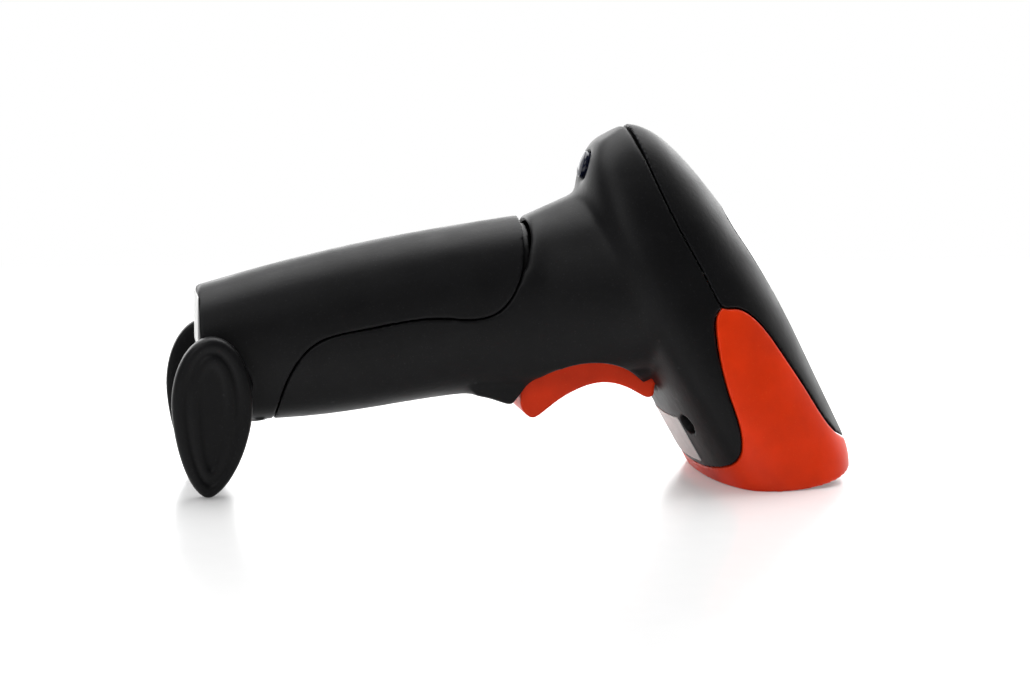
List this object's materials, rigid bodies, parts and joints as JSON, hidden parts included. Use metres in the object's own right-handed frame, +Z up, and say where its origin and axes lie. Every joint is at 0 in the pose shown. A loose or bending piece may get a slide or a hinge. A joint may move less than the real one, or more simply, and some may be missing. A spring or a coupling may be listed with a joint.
{
  "type": "handheld barcode scanner",
  "caption": "Cordless pistol barcode scanner: raked head with a wrap-round nose bumper, finger trigger, two-piece grip and a pair of swivelling egg-shaped feet at the butt.",
  "frame": {"origin": "under the middle of the whole object, on the surface it rests on (nose rim and foot tips)", "axes": "+X from the butt of the grip to the nose, +Z up, Y is the mirror axis; the object rests as pictured"},
  "size_m": [0.1815, 0.0624, 0.0936],
  "materials": {
    "battery_wrap": "shrink sleeve",
    "black_plastic": "fine moulded texture",
    "black_steel": "black oxide",
    "brass": "plated",
    "chip": "matte",
    "circuit_board": "solder mask",
    "gloss_panel": "polished",
    "inner_plastic": "satin",
    "label": "paper",
    "led": "clear",
    "lens": "polished",
    "orange_plastic": "satin",
    "rubber": "matte",
    "steel": "zinc plated",
    "window": "polished"
  },
  "bodies": {
    "body": {"battery": "battery_wrap", "battery_contacts": "brass", "battery_holder": "inner_plastic", "board_screws": "steel", "butt_label": "label", "butt_screw": "steel", "buzzer": "chip", "charging_port": "steel", "engine_bracket": "inner_plastic", "engine_lens": "lens", "engine_lights": "led", "head_screws": "black_steel", "main_board": "circuit_board", "main_housing": "black_plastic", "nose_bumper": "orange_plastic", "port_board": "circuit_board", "processor_chip": "chip", "rear_cover": "black_plastic", "rear_lens": "lens", "scan_engine": "chip", "scan_window": "window", "spring_washers": "steel", "status_led": "led", "top_cover": "black_plastic", "top_panel": "gloss_panel", "trigger_board": "circuit_board", "trigger_pin": "steel", "trigger_spring": "steel", "trigger_switch": "chip", "underside_label": "label", "window_frame": "inner_plastic", "window_gasket": "rubber"},
    "trigger": {"trigger": "orange_plastic"},
    "switch_plunger": {"switch_plunger": "inner_plastic"},
    "left_foot": {"left_foot": "black_plastic", "left_foot_washer": "steel", "left_foot_screw": "steel"},
    "right_foot": {"right_foot": "black_plastic", "right_foot_washer": "steel", "right_foot_screw": "steel"}
  },
  "joints": [
    {"name": "trigger_press", "type": "hinge", "parent": "body", "child": "trigger", "pos_m": [0.0325, 0, 0.029], "axis": [0, 1, 0], "range_deg": [0, 5], "stiffness_Nm_per_rad": 0.25, "springref_deg": -3.44, "deforming": ["trigger_spring"]},
    {"name": "switch_travel", "type": "slide", "parent": "body", "child": "switch_plunger", "axis": [0, 0, 1], "range_m": [0, 0.00075]},
    {"name": "left_foot_swivel", "type": "hinge", "parent": "body", "child": "left_foot", "pos_m": [-0.077, 0.02, 0.027], "axis": [0, -1, 0], "range_deg": [0, 95]},
    {"name": "right_foot_swivel", "type": "hinge", "parent": "body", "child": "right_foot", "pos_m": [-0.077, -0.02, 0.027], "axis": [0, -1, 0], "range_deg": [0, 95]}
  ],
  "couplings": [
    {"joint": "switch_travel", "follows": "trigger_press", "m_per_rad": 0.0085}
  ]
}
